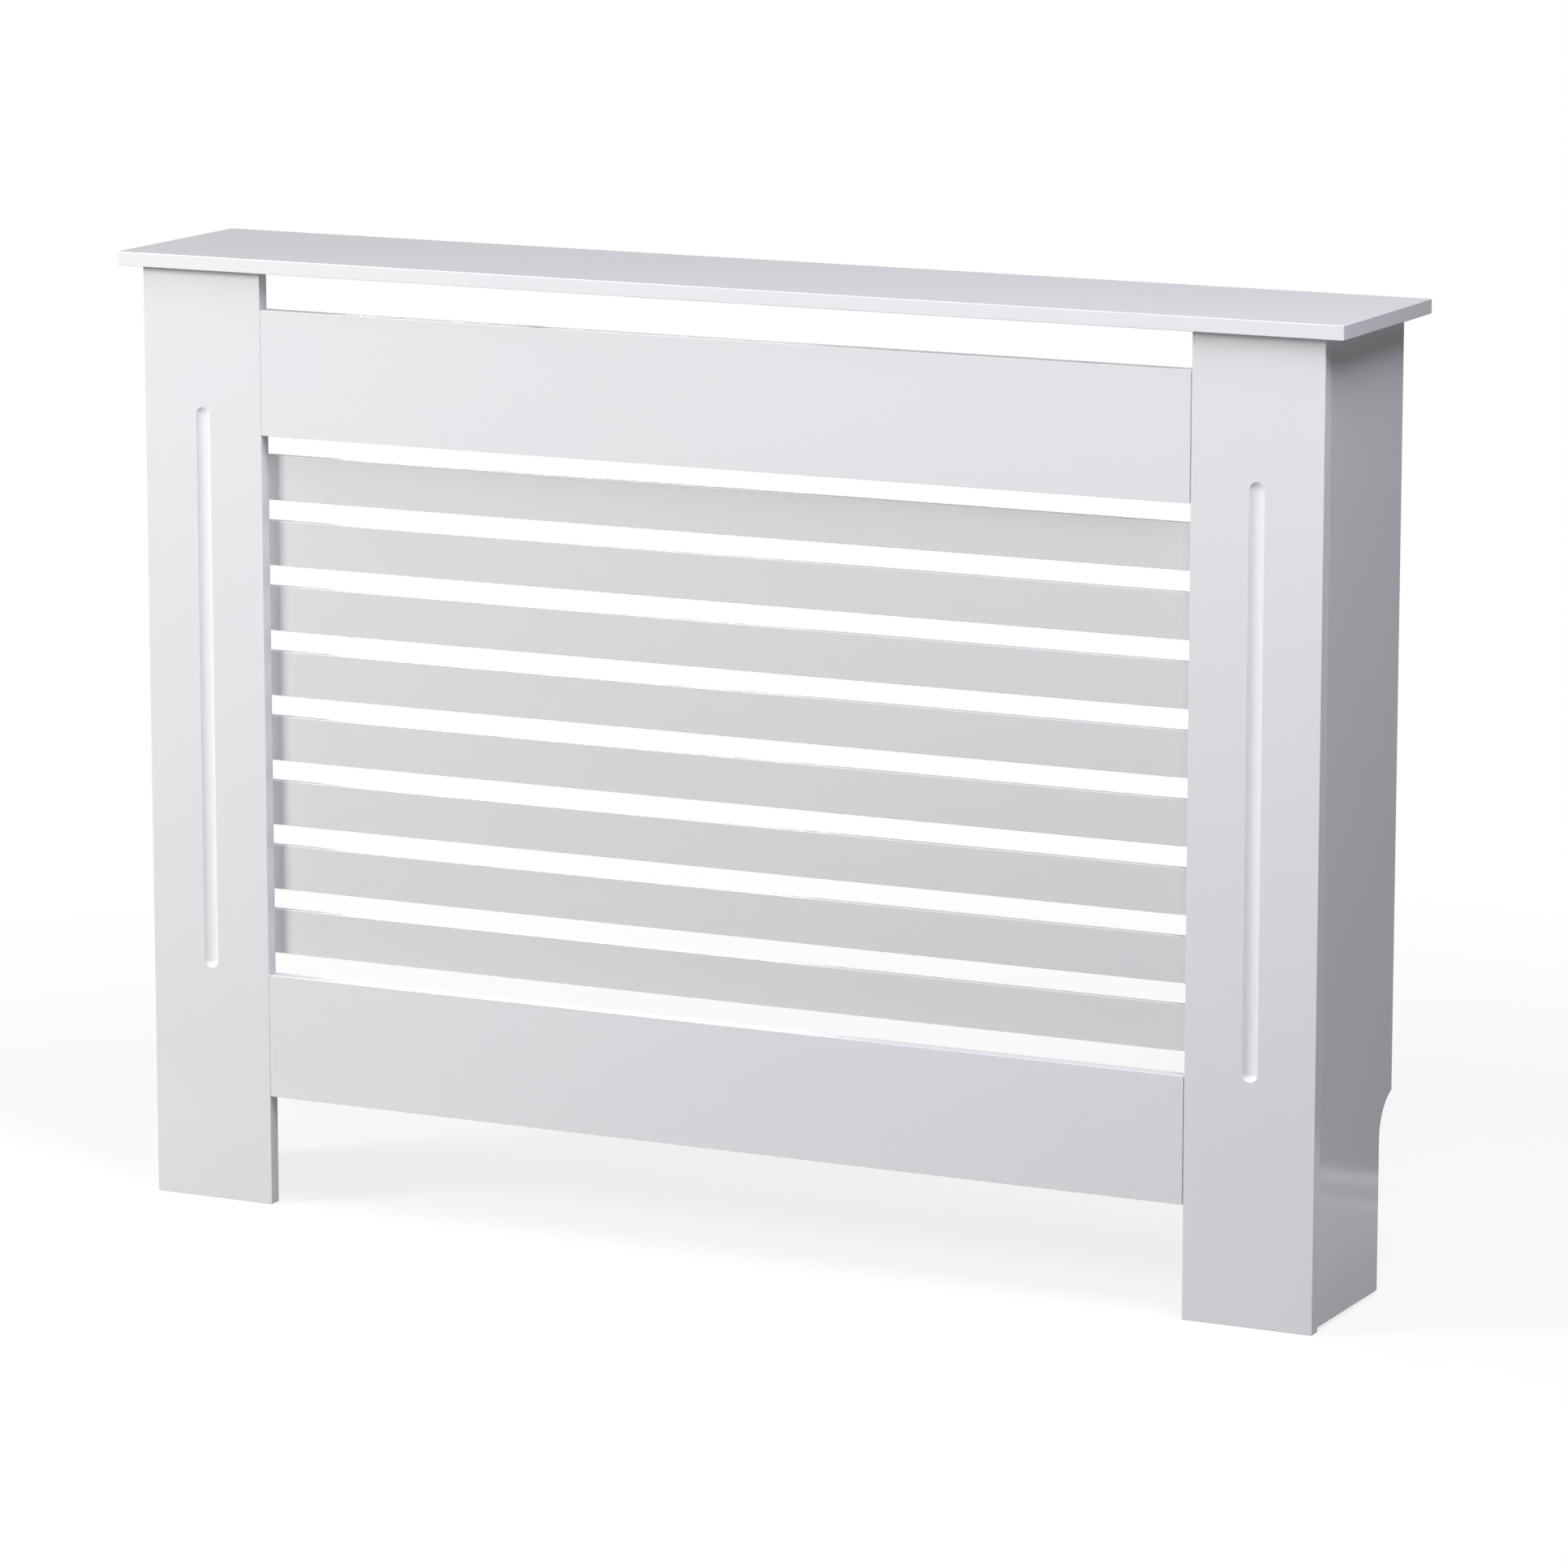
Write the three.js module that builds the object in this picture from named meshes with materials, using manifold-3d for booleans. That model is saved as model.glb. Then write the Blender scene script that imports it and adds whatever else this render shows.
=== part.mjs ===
// Radiator cover: a painted cabinet of thin boards that stands over a wall radiator.
// It is open at the back and underneath, with a slatted front, a shelf on top and side
// panels that are cut back near the floor to clear a skirting board.
//
// Millimetres, +Z up. X runs along the wall, the slatted front faces -Y and the wall is
// on the +Y side. The origin is on the floor, under the middle of the shelf.
import * as THREE from "three";
import { mergeVertices } from "three/addons/utils/BufferGeometryUtils.js";
import Module from "manifold-3d";

const wasm = await Module();
wasm.setup();

// ---- Driving sizes: boards ----
const SHELF_LENGTH = 1120;
const SHELF_DEPTH = 190;
const SHELF_THICKNESS = 12;
const SHELF_END_OVERHANG = 19; // past each side of the cabinet
const SHELF_FRONT_OVERHANG = 10; // past the front of the legs
const SHELF_REAR_OVERHANG = 12; // past the rear edge of the side panels
const LEG_HEIGHT = 810;
const LEG_WIDTH = 114;
const LEG_THICKNESS = 12;
const SIDE_THICKNESS = 12;
const SIDE_FLOOR_GAP = 4; // the side panels hang just clear of the floor
const RAIL_THICKNESS = 12;
const UPPER_RAIL_HEIGHT = 107;
const LOWER_RAIL_HEIGHT = 107;
const TOP_AIR_GAP = 32; // between the upper rail and the shelf
const FLOOR_AIR_GAP = 96; // between the floor and the lower rail
const ARRIS = 1.2; // rounding of every board edge
const SHELF_CORNER = 1.6; // rounding of the shelf's four upright corners

// ---- Driving sizes: slats ----
const SLAT_COUNT = 8;
const SLAT_HEIGHT = 38.5;
const SLAT_THICKNESS = 6;
const SLAT_ARRIS = 0.8;
const SLAT_LAP = 30; // length of each slat end that lies behind a leg

// ---- Driving sizes: routed groove in each leg ----
const GROOVE_WIDTH = 13.4;
const GROOVE_DEPTH = 3.3;
const GROOVE_FOOT = 204; // height of its lower end
const GROOVE_HEAD = 692; // height of its upper end

// ---- Driving sizes: skirting cut in each side panel ----
const SKIRTING_DEPTH = 26;
const SKIRTING_STRAIGHT = 132; // height at which the cut starts to curve out to the rear edge
const SKIRTING_RADIUS = 38;

// ---- Driving sizes: cam fittings ----
const CAM_DIAMETER = 15; // of the pocket
const CAM_SKIN = 2.5; // board left in front of a pocket
const CAM_SETBACK = 24; // board end to the centre of the cam
const CAM_RECESS = 0.4; // the disc sits this far below the face
const BOLT_HEAD_DIAMETER = 5.6;
const BOLT_NECK_DIAMETER = 3.6;
const BOLT_DIAMETER = 5.8;
const BOLT_HEAD_LENGTH = 4.2;
const BOLT_HEAD_CHAMFER = 1.4;
const BOLT_NECK_MARGIN = 1; // the neck runs this far clear of the disc
const BLIND_BACKING = 3.5; // board left beyond the end of a bolt, dowel or screw
const CAM_OPEN_ANGLE = 150; // turn from the tight place back to the mouth, in degrees
const DRIVE_LENGTH = 7.5; // screwdriver cross of a cam
const DRIVE_WIDTH = 1.4;
const DRIVE_DEPTH = 1.2;
const ARROW_LENGTH = 2.4; // mark on the disc that points to its mouth
const ARROW_DEPTH = 0.4;
const FIT = 0.3; // clearance round bolts, cams, dowels and screws
const RAIL_FIT = 0.3; // joint line between a rail end and its leg

// ---- Driving sizes: where the fittings sit ----
const LEG_CAM_FROM_FLOOR = 130;
const LEG_CAM_FROM_SHELF = 150;
const SHELF_CAM_FROM_FRONT = 42; // from the front edge of the side panel
const SHELF_CAM_FROM_REAR = 36; // from its rear edge
const RAIL_DOWEL_INSET = 18; // from a rail's top and bottom edges
const SIDE_DOWEL_OFFSET = 110; // from a leg cam towards the middle of the side panel
const SHELF_DOWEL_INSET = 27; // from a leg's upright edges
const DOWEL_DIAMETER = 6;
const DOWEL_REACH = 12; // into the upright edge of a leg
const DOWEL_CHAMFER = 0.8;

// ---- Driving sizes: screws and wall brackets ----
const SCREW_DIAMETER = 3;
const SCREW_HEAD_DIAMETER = 6.6;
const SCREW_HEAD_HEIGHT = 2.2;
const SCREW_CROWN_DIAMETER = 4.1; // flat top of the pan head
const SCREW_SHOULDER_DIAMETER = 6.1;
const SCREW_SHOULDER_HEIGHT = 1.2;
const SCREW_POINT = 3;
const SCREW_SLOT_LENGTH = 3.4;
const SCREW_SLOT_WIDTH = 0.8;
const SCREW_SLOT_DEPTH = 1;
const SLAT_SCREW_INSET = 15; // from the end of a slat
const BRACKET_FROM_END = 300; // shelf end to the middle of a bracket
const BRACKET_ARM = 25;
const BRACKET_WIDTH = 16;
const BRACKET_THICKNESS = 1.6;
const BRACKET_BEND = 1.5; // inside radius of its bend
const BRACKET_HOLE_DIAMETER = 4.4;
const BRACKET_HOLE_INSET = 9; // from the end of an arm

// ---- Facets ----
const ARRIS_STEPS = 2;
const DISC_FACETS = 16;
const PIN_FACETS = 10;
const GROOVE_FACETS = 20;
const GROOVE_END_STEPS = 5;
const CORNER_STEPS = 2;
const SKIRTING_STEPS = 7;
const SLOT_STEPS = 5;

// ---- Worked out from the driving sizes ----
const FRONT_Y = -SHELF_DEPTH / 2 + SHELF_FRONT_OVERHANG; // front of legs and rails
const LEG_REAR_Y = FRONT_Y + LEG_THICKNESS;
const SIDE_REAR_Y = SHELF_DEPTH / 2 - SHELF_REAR_OVERHANG;
const SIDE_DEPTH = SIDE_REAR_Y - LEG_REAR_Y;
const WALL_Y = SHELF_DEPTH / 2;
const BODY_HALF = SHELF_LENGTH / 2 - SHELF_END_OVERHANG; // middle to the outside of a side panel
const LEG_MIDDLE_X = BODY_HALF - LEG_WIDTH / 2;
const LEG_INNER_X = BODY_HALF - LEG_WIDTH;
const SIDE_MIDDLE_X = BODY_HALF - SIDE_THICKNESS / 2;
const UPPER_RAIL_Z = LEG_HEIGHT - TOP_AIR_GAP - UPPER_RAIL_HEIGHT; // underside of each rail
const LOWER_RAIL_Z = FLOOR_AIR_GAP;
const RAIL_END_X = LEG_INNER_X - RAIL_FIT;
const SLAT_SPACE = UPPER_RAIL_Z - LOWER_RAIL_Z - LOWER_RAIL_HEIGHT;
const SLAT_GAP = (SLAT_SPACE - SLAT_COUNT * SLAT_HEIGHT) / (SLAT_COUNT + 1);
const SLAT_LENGTH = 2 * (LEG_INNER_X + SLAT_LAP);
const SLAT_SCREW_X = SLAT_LENGTH / 2 - SLAT_SCREW_INSET;
const LEG_BLIND = LEG_THICKNESS - BLIND_BACKING; // depth of a blind hole in a face
const SHELF_BLIND = SHELF_THICKNESS - BLIND_BACKING;
const BOLT_NECK_LENGTH = CAM_DIAMETER / 2 + BOLT_NECK_MARGIN;
const LEG_CAM_HEIGHTS = [LEG_CAM_FROM_FLOOR, LEG_HEIGHT - LEG_CAM_FROM_SHELF];
const SIDE_DOWEL_HEIGHTS = [
  LEG_CAM_HEIGHTS[0] + SIDE_DOWEL_OFFSET,
  LEG_CAM_HEIGHTS[1] - SIDE_DOWEL_OFFSET,
];

const X = new THREE.Vector3(1, 0, 0);
const Y = new THREE.Vector3(0, 1, 0);
const Z = new THREE.Vector3(0, 0, 1);
const LEFT = -1;
const RIGHT = 1;
const SIDES = [["left", LEFT], ["right", RIGHT]];

// ---- Solids ----

// A closed three.js geometry as a solid: its shared corners are merged and facets that
// have shrunk to a line, such as those at a lathe's axis, are left out.
function solid(geometry, matrix = new THREE.Matrix4()) {
  const bare = geometry.clone().applyMatrix4(matrix);
  bare.deleteAttribute("normal");
  bare.deleteAttribute("uv");
  const merged = mergeVertices(bare, 1e-4);
  const index = merged.index.array;
  const faces = [];
  for (let i = 0; i < index.length; i += 3) {
    const [a, b, c] = index.slice(i, i + 3);
    if (a !== b && b !== c && c !== a) faces.push(a, b, c);
  }
  const vertProperties = merged.attributes.position.array;
  const triVerts = Uint32Array.from(faces);
  return new wasm.Manifold(new wasm.Mesh({ numProp: 3, vertProperties, triVerts }));
}

function geometryOf(shape) {
  const mesh = shape.getMesh();
  const geometry = new THREE.BufferGeometry();
  geometry.setAttribute("position", new THREE.BufferAttribute(Float32Array.from(mesh.vertProperties), 3));
  geometry.setIndex(new THREE.BufferAttribute(Uint32Array.from(mesh.triVerts), 1));
  geometry.computeVertexNormals();
  return geometry;
}

// A frame with its own X and Z axes and its origin at a point; Y follows from them.
function frameAt(origin, xAxis, zAxis) {
  const yAxis = new THREE.Vector3().crossVectors(zAxis, xAxis);
  return new THREE.Matrix4().makeBasis(xAxis, yAxis, zAxis).setPosition(origin);
}

// A round bar along its frame's +X, from one distance to another.
function bar(radius, from, to, facets = PIN_FACETS) {
  const geometry = new THREE.CylinderGeometry(radius, radius, to - from, facets);
  return geometry.rotateZ(-Math.PI / 2).translate((from + to) / 2, 0, 0);
}

// A round bar along its frame's +Z.
function post(radius, from, to, facets = DISC_FACETS) {
  const geometry = new THREE.CylinderGeometry(radius, radius, to - from, facets);
  return geometry.rotateX(Math.PI / 2).translate(0, 0, (from + to) / 2);
}

// A turned piece along its frame's +X, from a profile of [distance, radius] points that
// starts and ends on the axis.
function turned(profile, facets = PIN_FACETS) {
  const points = profile.map(([along, radius]) => new THREE.Vector2(radius, along));
  return new THREE.LatheGeometry(points, facets).rotateZ(-Math.PI / 2);
}

function block(sizeX, sizeY, sizeZ, x, y, z) {
  return new THREE.BoxGeometry(sizeX, sizeY, sizeZ).translate(x, y, z);
}

// ---- Boards ----

// A board is an outline pushed out to its thickness, with the edges of both faces rounded.
// Its own frame lies in the outline's plane, and `at` is where that frame stands.
function board(name, outline, thickness, axes, at, arris = ARRIS, curveSegments = CORNER_STEPS) {
  const geometry = new THREE.ExtrudeGeometry(outline, {
    depth: thickness - 2 * arris,
    bevelThickness: arris,
    bevelSize: arris,
    bevelOffset: -arris,
    bevelSegments: ARRIS_STEPS,
    curveSegments,
  });
  geometry.translate(0, 0, arris);
  return { name, at, shape: solid(geometry, new THREE.Matrix4().makeBasis(...axes)) };
}

// Cuts a shape given in the cabinet's frame out of a board.
function cut(target, geometry, matrix = new THREE.Matrix4()) {
  const away = new THREE.Matrix4().makeTranslation(target.at.clone().negate());
  target.shape = target.shape.subtract(solid(geometry, away.multiply(matrix)));
}

function glue(target, geometry, matrix) {
  const away = new THREE.Matrix4().makeTranslation(target.at.clone().negate());
  target.shape = target.shape.add(solid(geometry, away.multiply(matrix)));
}

function rectangle(width, height, left = 0, bottom = 0) {
  const shape = new THREE.Shape();
  shape.moveTo(left, bottom);
  shape.lineTo(left + width, bottom);
  shape.lineTo(left + width, bottom + height);
  shape.lineTo(left, bottom + height);
  return shape;
}

function shelfOutline() {
  const x = SHELF_LENGTH / 2;
  const y = SHELF_DEPTH / 2;
  const r = SHELF_CORNER;
  const shape = new THREE.Shape();
  shape.moveTo(-x + r, -y);
  shape.absarc(x - r, -y + r, r, -Math.PI / 2, 0, false);
  shape.absarc(x - r, y - r, r, 0, Math.PI / 2, false);
  shape.absarc(-x + r, y - r, r, Math.PI / 2, Math.PI, false);
  shape.absarc(-x + r, -y + r, r, Math.PI, 1.5 * Math.PI, false);
  return shape;
}

// The side panel seen from the right: front edge at 0, rear edge cut back near the floor.
// The cut is straight to SKIRTING_STRAIGHT, then an arc that leaves at the rear edge.
function sideOutline() {
  const cutY = SIDE_DEPTH - SKIRTING_DEPTH;
  const leaving = Math.acos((SKIRTING_DEPTH - SKIRTING_RADIUS) / SKIRTING_RADIUS);
  const shape = new THREE.Shape();
  shape.moveTo(0, SIDE_FLOOR_GAP);
  shape.lineTo(cutY, SIDE_FLOOR_GAP);
  shape.lineTo(cutY, SKIRTING_STRAIGHT);
  shape.absarc(cutY + SKIRTING_RADIUS, SKIRTING_STRAIGHT, SKIRTING_RADIUS, Math.PI, leaving, true);
  shape.lineTo(SIDE_DEPTH, LEG_HEIGHT);
  shape.lineTo(0, LEG_HEIGHT);
  return shape;
}

const FLAT = [X, Y, Z]; // outline seen from above, thickness upwards
const FRONTAL = [X, Z, Y.clone().negate()]; // outline seen from the front, thickness forwards
const LATERAL = [Y, Z, X]; // outline seen from the right, thickness to the right

const shelf = board(
  "top_shelf",
  shelfOutline(),
  SHELF_THICKNESS,
  FLAT,
  new THREE.Vector3(0, 0, LEG_HEIGHT),
);

const legs = SIDES.map(([word, side]) => board(
  `${word}_front_leg`,
  rectangle(LEG_WIDTH, LEG_HEIGHT, -LEG_WIDTH / 2),
  LEG_THICKNESS,
  FRONTAL,
  new THREE.Vector3(side * LEG_MIDDLE_X, LEG_REAR_Y, 0),
));

const sidePanels = SIDES.map(([word, side]) => board(
  `${word}_side_panel`,
  sideOutline(),
  SIDE_THICKNESS,
  LATERAL,
  new THREE.Vector3(side * SIDE_MIDDLE_X - SIDE_THICKNESS / 2, LEG_REAR_Y, 0),
  ARRIS,
  SKIRTING_STEPS,
));

const rails = [
  ["upper_rail", UPPER_RAIL_HEIGHT, UPPER_RAIL_Z],
  ["lower_rail", LOWER_RAIL_HEIGHT, LOWER_RAIL_Z],
].map(([name, height, underside]) => board(
  name,
  rectangle(2 * RAIL_END_X, height, -RAIL_END_X),
  RAIL_THICKNESS,
  FRONTAL,
  new THREE.Vector3(0, FRONT_Y + RAIL_THICKNESS, underside),
));

// The slats hang one gap apart from the upper rail down, face to face with the legs' backs.
const slats = Array.from({ length: SLAT_COUNT }, (_, i) => board(
  `slat_${i + 1}`,
  rectangle(SLAT_LENGTH, SLAT_HEIGHT, -SLAT_LENGTH / 2),
  SLAT_THICKNESS,
  FRONTAL,
  new THREE.Vector3(0, LEG_REAR_Y + SLAT_THICKNESS, UPPER_RAIL_Z - (i + 1) * (SLAT_GAP + SLAT_HEIGHT)),
  SLAT_ARRIS,
));

// ---- Routed grooves ----

// A ball-nosed cutter runs up the middle of each leg: a bar with round ends, whose axis
// lies in front of the leg so that it bites GROOVE_DEPTH deep and GROOVE_WIDTH wide.
function grooveCutter() {
  const radius = (GROOVE_WIDTH ** 2 / 4 + GROOVE_DEPTH ** 2) / (2 * GROOVE_DEPTH);
  const travel = GROOVE_HEAD - GROOVE_FOOT - GROOVE_WIDTH;
  const path = new THREE.Path();
  path.absarc(0, travel / 2, radius, Math.PI / 2, 0, true);
  path.absarc(0, -travel / 2, radius, 0, -Math.PI / 2, true);
  const points = path.getPoints(GROOVE_END_STEPS);
  points[0].x = 0;
  points[points.length - 1].x = 0;
  const cutter = new THREE.LatheGeometry(points.reverse(), GROOVE_FACETS).rotateX(Math.PI / 2);
  return cutter.translate(0, FRONT_Y + GROOVE_DEPTH - radius, (GROOVE_HEAD + GROOVE_FOOT) / 2);
}

SIDES.forEach(([, side], i) => {
  cut(legs[i], grooveCutter().translate(side * LEG_MIDDLE_X, 0, 0));
});

// ---- Cam fittings ----
// Each fitting has its own frame. Its origin is the middle of the bolt's head, halfway
// through the board that holds the disc, +X runs along the bolt to the next board and
// +Z points out of the disc's pocket.

function camDisc(thickness) {
  const radius = CAM_DIAMETER / 2 - FIT;
  const floor = CAM_SKIN - thickness / 2;
  const face = thickness / 2 - CAM_RECESS;
  const mouth = BOLT_HEAD_DIAMETER / 2 + FIT;
  const hollow = Math.hypot(BOLT_HEAD_DIAMETER, BOLT_HEAD_LENGTH) / 2 + FIT;
  const neckHalf = BOLT_NECK_DIAMETER / 2 + FIT;
  const open = THREE.MathUtils.degToRad(CAM_OPEN_ANGLE);
  let disc = solid(post(radius, floor, face));
  // Round the head there is a hollow that lets the disc turn.
  disc = disc.subtract(solid(post(hollow, -mouth, mouth, PIN_FACETS)));
  // The head goes in through a mouth in the rim.
  disc = disc.subtract(solid(bar(mouth, 0, CAM_DIAMETER).rotateZ(open)));
  // The neck then travels along a slot from the mouth to the tight place.
  const sector = new THREE.Shape();
  sector.moveTo(0, -neckHalf);
  sector.lineTo(CAM_DIAMETER, -neckHalf);
  sector.absarc(0, 0, CAM_DIAMETER, 0, open, false);
  const slot = new THREE.ExtrudeGeometry(sector, {
    depth: 2 * neckHalf,
    bevelEnabled: false,
    curveSegments: SLOT_STEPS,
  });
  disc = disc.subtract(solid(slot.translate(0, 0, -neckHalf)));
  // Screwdriver cross, and an arrow that points to the mouth.
  const crossZ = face - DRIVE_DEPTH / 2 + FIT;
  const crossHeight = DRIVE_DEPTH + 2 * FIT;
  disc = disc.subtract(solid(block(DRIVE_LENGTH, DRIVE_WIDTH, crossHeight, 0, 0, crossZ)));
  disc = disc.subtract(solid(block(DRIVE_WIDTH, DRIVE_LENGTH, crossHeight, 0, 0, crossZ)));
  const arrow = new THREE.CylinderGeometry(ARROW_LENGTH / 2, ARROW_LENGTH / 2, 2 * ARROW_DEPTH, 3);
  arrow.rotateX(Math.PI / 2).rotateZ(Math.PI);
  arrow.translate(radius - ARROW_LENGTH / 2 - FIT, 0, face).rotateZ(open);
  return disc.subtract(solid(arrow));
}

function camBolt(reach) {
  const head = BOLT_HEAD_LENGTH / 2;
  const neck = BOLT_NECK_DIAMETER / 2;
  const shank = BOLT_DIAMETER / 2;
  const end = CAM_SETBACK + reach;
  return solid(turned([
    [-head, 0],
    [-head, BOLT_HEAD_DIAMETER / 2 - BOLT_HEAD_CHAMFER],
    [-head + BOLT_HEAD_CHAMFER, BOLT_HEAD_DIAMETER / 2],
    [head, BOLT_HEAD_DIAMETER / 2],
    [head, neck],
    [BOLT_NECK_LENGTH, neck],
    [BOLT_NECK_LENGTH + shank - neck, shank],
    [end - shank / 2, shank],
    [end, shank / 2],
    [end, 0],
  ]));
}

// Pocket and bolt hole in the board that holds the disc, and the blind hole in the next one.
function fitCam(holder, receiver, fitting) {
  const { matrix, thickness, reach } = fitting;
  cut(holder, post(CAM_DIAMETER / 2, CAM_SKIN - thickness / 2, thickness), matrix);
  cut(holder, bar(BOLT_DIAMETER / 2 + FIT, 0, CAM_SETBACK + 2 * FIT), matrix);
  cut(receiver, bar(BOLT_DIAMETER / 2 + FIT, CAM_SETBACK - FIT, CAM_SETBACK + reach + FIT), matrix);
}

const fittings = [];
function addCam(name, holder, receiver, origin, along, mouth, thickness, reach) {
  const fitting = { name, matrix: frameAt(origin, along, mouth), thickness, reach };
  fitCam(holder, receiver, fitting);
  fittings.push(fitting);
}

// A dowel glued into one board and let into the next, from the joint along a direction.
function addDowel(holder, receiver, joint, along, sideways, reach) {
  const radius = DOWEL_DIAMETER / 2;
  const matrix = frameAt(joint, along, sideways);
  cut(receiver, bar(radius + FIT, -FIT, reach + FIT), matrix);
  glue(holder, turned([
    [-BLIND_BACKING, 0],
    [-BLIND_BACKING, radius],
    [reach - DOWEL_CHAMFER, radius],
    [reach, radius - DOWEL_CHAMFER],
    [reach, 0],
  ]), matrix);
}

// Rails to legs: the disc is let into the back of the rail, the bolt runs into the leg's edge.
const railMiddleY = FRONT_Y + RAIL_THICKNESS / 2;
for (const rail of rails) {
  const height = rail.name === "upper_rail" ? UPPER_RAIL_HEIGHT : LOWER_RAIL_HEIGHT;
  SIDES.forEach(([word, side], i) => {
    const along = X.clone().multiplyScalar(side);
    const origin = new THREE.Vector3(side * (RAIL_END_X - CAM_SETBACK), railMiddleY, 0);
    origin.z = rail.at.z + height / 2;
    const name = `${rail.name}_${word}`;
    addCam(name, rail, legs[i], origin, along, Y, RAIL_THICKNESS, RAIL_FIT + DOWEL_REACH);
    for (const z of [rail.at.z + RAIL_DOWEL_INSET, rail.at.z + height - RAIL_DOWEL_INSET]) {
      const joint = new THREE.Vector3(side * RAIL_END_X, railMiddleY, z);
      addDowel(rail, legs[i], joint, along, Y, RAIL_FIT + DOWEL_REACH);
    }
  });
}

// Side panels to legs and to the shelf: the discs are let into the inner faces.
SIDES.forEach(([word, side], i) => {
  const inwards = X.clone().multiplyScalar(-side);
  const forwards = Y.clone().negate();
  const panel = sidePanels[i];
  const x = side * SIDE_MIDDLE_X;
  ["lower", "upper"].forEach((place, k) => {
    const origin = new THREE.Vector3(x, LEG_REAR_Y + CAM_SETBACK, LEG_CAM_HEIGHTS[k]);
    addCam(`${word}_leg_${place}`, panel, legs[i], origin, forwards, inwards, SIDE_THICKNESS, LEG_BLIND);
    const joint = new THREE.Vector3(x, LEG_REAR_Y, SIDE_DOWEL_HEIGHTS[k]);
    addDowel(panel, legs[i], joint, forwards, inwards, LEG_BLIND);
  });
  const shelfCamYs = [LEG_REAR_Y + SHELF_CAM_FROM_FRONT, SIDE_REAR_Y - SHELF_CAM_FROM_REAR];
  ["front", "rear"].forEach((place, k) => {
    const origin = new THREE.Vector3(x, shelfCamYs[k], LEG_HEIGHT - CAM_SETBACK);
    addCam(`${word}_shelf_${place}`, panel, shelf, origin, Z, inwards, SIDE_THICKNESS, SHELF_BLIND);
  });
  for (const offset of [-LEG_WIDTH / 2 + SHELF_DOWEL_INSET, LEG_WIDTH / 2 - SHELF_DOWEL_INSET]) {
    const joint = new THREE.Vector3(side * LEG_MIDDLE_X + offset, FRONT_Y + LEG_THICKNESS / 2, LEG_HEIGHT);
    addDowel(legs[i], shelf, joint, Z, X, SHELF_BLIND);
  }
});

// ---- Screws ----
// A screw's frame has its origin under the head, +X towards the point.

function panScrew(length) {
  const shank = SCREW_DIAMETER / 2;
  let screw = solid(turned([
    [-SCREW_HEAD_HEIGHT, 0],
    [-SCREW_HEAD_HEIGHT, SCREW_CROWN_DIAMETER / 2],
    [-SCREW_SHOULDER_HEIGHT, SCREW_SHOULDER_DIAMETER / 2],
    [0, SCREW_HEAD_DIAMETER / 2],
    [0, shank],
    [length - SCREW_POINT, shank],
    [length, 0],
  ]));
  const slotX = -SCREW_HEAD_HEIGHT + SCREW_SLOT_DEPTH / 2 - FIT;
  const slotDepth = SCREW_SLOT_DEPTH + 2 * FIT;
  screw = screw.subtract(solid(block(slotDepth, SCREW_SLOT_LENGTH, SCREW_SLOT_WIDTH, slotX, 0, 0)));
  return screw.subtract(solid(block(slotDepth, SCREW_SLOT_WIDTH, SCREW_SLOT_LENGTH, slotX, 0, 0)));
}

const screws = [];
function addScrew(name, boards, head, along, sideways, length) {
  const matrix = frameAt(head, along, sideways);
  for (const target of boards) {
    cut(target, bar(SCREW_DIAMETER / 2 + FIT, -FIT, length + FIT), matrix);
  }
  screws.push({ name, matrix, length });
}

slats.forEach((slat, row) => {
  SIDES.forEach(([word, side], i) => {
    const head = new THREE.Vector3(side * SLAT_SCREW_X, slat.at.y, slat.at.z + SLAT_HEIGHT / 2);
    const name = `slat_${row + 1}_${word}_screw`;
    addScrew(name, [slat, legs[i]], head, Y.clone().negate(), X, SLAT_THICKNESS + LEG_BLIND);
  });
});

// ---- Wall brackets ----
// Bent from flat strip: one arm is screwed up into the shelf, the other lies on the wall.

function bracketBody() {
  const t = BRACKET_THICKNESS;
  const r = BRACKET_BEND;
  const profile = new THREE.Shape();
  profile.moveTo(-BRACKET_ARM, 0);
  profile.lineTo(-BRACKET_ARM, -t);
  profile.lineTo(-t - r, -t);
  profile.absarc(-t - r, -t - r, r, Math.PI / 2, 0, true);
  profile.lineTo(-t, -BRACKET_ARM);
  profile.lineTo(0, -BRACKET_ARM);
  profile.lineTo(0, -t - r);
  profile.absarc(-t - r, -t - r, r + t, 0, Math.PI / 2, false);
  const strip = new THREE.ExtrudeGeometry(profile, {
    depth: BRACKET_WIDTH,
    bevelEnabled: false,
    curveSegments: CORNER_STEPS,
  });
  strip.translate(0, 0, -BRACKET_WIDTH / 2);
  return solid(strip, new THREE.Matrix4().makeBasis(...LATERAL));
}

const brackets = SIDES.map(([word, side]) => {
  const at = new THREE.Vector3(side * (SHELF_LENGTH / 2 - BRACKET_FROM_END), WALL_Y, LEG_HEIGHT);
  const bracket = { name: `${word}_wall_bracket`, at, shape: bracketBody() };
  const shelfHole = new THREE.Vector3(at.x, at.y - BRACKET_ARM + BRACKET_HOLE_INSET, at.z);
  const wallHole = new THREE.Vector3(at.x, at.y, at.z - BRACKET_ARM + BRACKET_HOLE_INSET);
  const through = bar(BRACKET_HOLE_DIAMETER / 2, -2 * BRACKET_THICKNESS, 2 * BRACKET_THICKNESS);
  cut(bracket, through, frameAt(shelfHole, Z, X));
  cut(bracket, through, frameAt(wallHole, Y, X));
  const head = shelfHole.clone().setZ(at.z - BRACKET_THICKNESS);
  addScrew(`${word}_bracket_screw`, [shelf], head, Z, X, BRACKET_THICKNESS + SHELF_BLIND);
  return bracket;
});

// ---- Scene graph ----

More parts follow.
